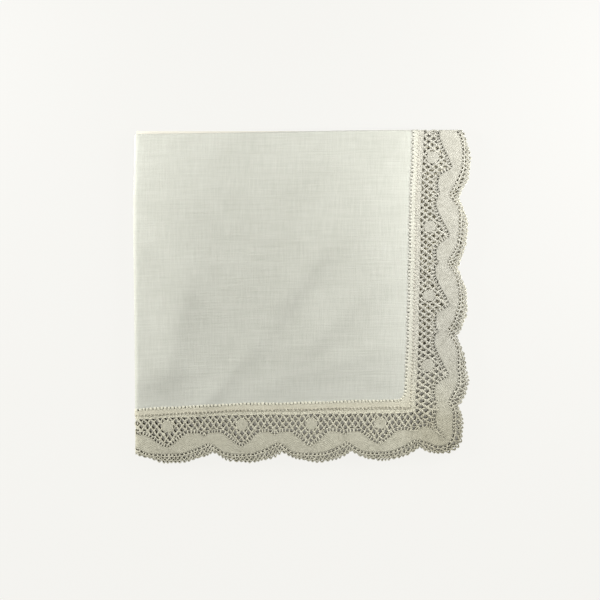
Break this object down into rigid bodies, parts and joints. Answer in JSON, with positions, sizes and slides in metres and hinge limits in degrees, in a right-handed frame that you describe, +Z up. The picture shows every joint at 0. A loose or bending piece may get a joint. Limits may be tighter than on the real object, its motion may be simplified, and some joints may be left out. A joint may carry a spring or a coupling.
{
  "type": "handkerchief",
  "caption": "Square linen handkerchief with a hemstitched hem and a wide scalloped lace edging, pressed and folded in four.",
  "frame": {"origin": "under the middle of the folded square, on the surface that it lies on", "axes": "+Z up, through the four layers; +X from the outer folded edge to the free lace edge; +Y from the free lace edge to the inner folded edge"},
  "size_m": [0.1494, 0.148, 0.0064],
  "materials": {
    "linen": "matte plain weave",
    "lace": "matte cotton thread"
  },
  "bodies": {
    "root": {"linen_panel": "linen", "lace_edging": "lace"}
  },
  "joints": []
}
